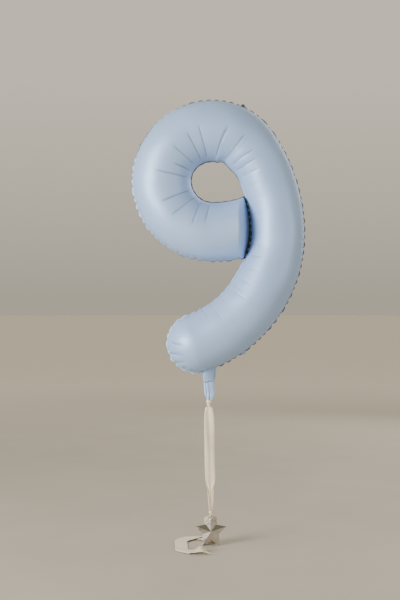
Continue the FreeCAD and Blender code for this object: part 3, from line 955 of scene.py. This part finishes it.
def neck_skin(name, side, seed):
    """Half of the filling neck: slack film, a crosswise crease, and a cut edge that hangs in two points,
    with painted shade in the crease, the pleats and the neck's upper part.
    """
    rng = np.random.default_rng(seed)
    rows, columns = 120, 61
    heights, shifts, halves, depths = (np.array(v) for v in zip(*NECK_SHAPE[::-1]))
    part = np.linspace(-1, 1, columns)
    edge = np.interp(part, *zip(*NECK_EDGE))
    pleats = [(rng.uniform(-0.8, 0.8), rng.uniform(0.08, 0.16), rng.uniform(0.5, 1.0)) for k in range(7)]
    points = []
    marks = []
    for k in range(rows):
        t = k / (rows - 1)
        z = NECK_TOP + (edge - NECK_TOP) * t
        half = np.interp(z, heights, halves)
        depth = np.interp(z, heights, depths)
        x = NECK_X + np.interp(z, heights, shifts) + part * half
        low = 1 - ease((z - 0.420) / 0.060)
        pleat = sum(size * np.exp(-((part - at - 0.10 * t) / wide) ** 2) for at, wide, size in pleats)
        cross = np.exp(-((z - 0.4595 - 0.002 * np.sin(4 * part)) / 0.0022) ** 2)
        rim = np.sqrt(np.clip(1 - part**2, 0, 1))
        y = depth * rim - 0.0012 * low * pleat * rim - 0.0022 * cross * rim
        points += list(zip(x, side * np.maximum(y, 0.0002), z))
        # Painted shade in the crosswise crease, in the pleats and over the neck's upper part.
        marks += list(np.clip(0.45 * cross + 0.30 * low * pleat + 0.25 * ease((z - 0.462) / 0.012), 0, 1))
    skin = mesh_object(name, points, grid_faces(rows, columns, flip=side < 0), [FOIL])
    fold = skin.data.attributes.new("fold", "FLOAT", "POINT")
    fold.data.foreach_set("value", np.array(marks, np.float32))
    return solid(skin, NECK_FILM)


def pleated_tube(name, heights, half, depth, pleats, swell, material):
    """Gathered film or ribbon drawn into an oval bundle, closed at its foot."""
    around = 72
    points = []
    for k, z in enumerate(heights):
        t = k / (len(heights) - 1)
        for n in range(around):
            a = 2 * math.pi * n / around
            ply = 1 + swell * math.sin(pleats * a + 2.5 * t) + 0.4 * swell * math.sin(3 * a - 4 * t)
            points.append((NECK_X + half[k] * ply * math.cos(a), depth[k] * ply * math.sin(a), z))
    foot = tuple(range(around))
    return mesh_object(name, points, [*tube_faces(len(heights), around), foot], [material])


def gathered_end():
    """The neck's film where it is drawn together inside the tie."""
    heights = np.linspace(0.3978, 0.4260, 24)
    spread = ease((heights - 0.408) / 0.016)
    half = 0.0055 + 0.0050 * spread
    depth = 0.0030 - 0.0010 * spread
    return pleated_tube("gathered_end", heights, half, depth, 9, 0.10, FOIL)


def neck_wrap():
    """Four turns of ribbon pulled tight round the gathered end."""
    low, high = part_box("ribbon_neck_wrap")
    around, rows, turns = 96, 64, 4
    wide = (high.x - low.x) / 2
    deep = (high.y - low.y) / 2
    points = []
    for k in range(rows):
        t = k / (rows - 1)
        for n in range(around):
            a = 2 * math.pi * n / around
            lap = (t * turns + n / around) % 1.0
            layer = 0.0006 * math.sqrt(max(4 * lap * (1 - lap), 0)) - 0.0009
            crimp = 0.00018 * math.sin(23 * a + 9 * t)
            pull = 0.0016 * (1 - math.sin(math.pi * t) ** 0.4)
            reach = layer + crimp - pull
            points.append((NECK_X + (wide + reach) * math.cos(a), (deep + reach) * math.sin(a),
                           low.z + (high.z - low.z) * t))
    return solid(mesh_object("neck_wrap", points, tube_faces(rows, around), [CREAM]), RIBBON_THICK)


def weld_web():
    """The weld that joins the loop's end to the stem, deep between the two, puckered by both; its near-black
    colour is painted shade.
    """
    rows, columns = 90, 15
    low = FOOT_Z - math.sqrt(FOOT_R**2 - (END_X - LOOP_X) ** 2)
    high = FOOT_Z - math.sqrt((FOOT_R - 2 * LOOP_HALF) ** 2 - (END_X - LOOP_X) ** 2)
    points = []
    for k in range(rows):
        z = low + (high - low) * k / (rows - 1)
        centre, radius = (STEM_X, STEM_R - 2 * STEM_HALF) if z > STEM_Z else (TAIL_X, TAIL_R - 2 * STEM_HALF)
        far = centre + math.sqrt(radius**2 - (z - STEM_Z) ** 2) + 0.0040
        near = END_X - 0.0030 + END_BULGE * (1 - ((z - (low + high) / 2) / ((high - low) / 2)) ** 2)
        for n in range(columns):
            t = n / (columns - 1)
            ripple = 0.0011 * math.sin(z * 340 + 2 * t) * math.sin(math.pi * t)
            points.append((near + (far - near) * t, ripple, z))
    return solid(mesh_object("loop_end_weld", points, grid_faces(rows, columns), [WEB_PAINTED_SHADE]), WELD_THICK)


def seam_tab(name, cx, cz, outline, degrees, material):
    """Rounded lobe of welded film that stands out of the seam, slightly dished."""
    a = math.radians(degrees)
    middle = (cx + outline * math.cos(a), cz + outline * math.sin(a))
    rings, around = 8, 40
    points = []
    for k in range(rings):
        r = TAB_RADIUS * (k + 0.15) / (rings - 0.85)
        for n in range(around):
            t = 2 * math.pi * n / around
            lobe = r * (1 + 0.07 * math.sin(2 * t + 0.6) + 0.03 * math.sin(5 * t))
            dish = 0.0011 * (r / TAB_RADIUS) ** 2 * math.cos(2 * t) - 0.0005
            points.append((middle[0] + lobe * math.cos(t), dish, middle[1] + lobe * math.sin(t)))
    faces = [tuple(range(around)), *tube_faces(rings, around)]
    return solid(mesh_object(name, points, faces, [material]), WELD_THICK)


front_neck = neck_skin("front_neck_film", -1.0, 3)
back_neck = neck_skin("back_neck_film", 1.0, 8)
end = gathered_end()
web = weld_web()
# The upper tab takes the dark copy of the foil, painted shade; the lower tab takes the plain foil.
upper_tab = seam_tab("upper_seam_tab", LOOP_X, CROWN_Z, CROWN_R, 65.8, WELD)
lower_tab = seam_tab("lower_seam_tab", TAIL_X, STEM_Z, TAIL_R, -54.6, FOIL)
for piece in (front_neck, back_neck, end, web, upper_tab, lower_tab):
    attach(piece, "balloon")
wrap = neck_wrap()
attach(wrap, "balloon")
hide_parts("ribbon_neck_wrap")


# ---- stage and materials for the CAD parts ------------------------------------------------------
PLATING = plating_material()
BALLAST = ballast_material()
VALVE = valve_material()
for node, material in (("star_front_shell", PLATING), ("star_back_shell", PLATING),
                       ("star_ballast", BALLAST), ("valve_film_front", VALVE), ("valve_film_back", VALVE)):
    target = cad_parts[node]
    target.data.materials.clear()
    target.data.materials.append(material)
    if material is PLATING:
        weld = target.modifiers.new("join", "WELD")
        weld.merge_threshold = 0.00002
        round_off = target.modifiers.new("edges", "BEVEL")
        round_off.width = 0.0007
        round_off.segments = 3
        round_off.limit_method = "ANGLE"
        round_off.angle_limit = math.radians(12)
        shade = target.modifiers.new("faces", "WEIGHTED_NORMAL")
        shade.keep_sharp = False

turns = [math.tau * k / FLOOR_SIDES for k in range(FLOOR_SIDES)]
rim = [(FLOOR_RADIUS * math.cos(a), FLOOR_RADIUS * math.sin(a), 0) for a in turns]
floor = mesh_object("floor", rim, [tuple(range(FLOOR_SIDES))], [floor_material()])
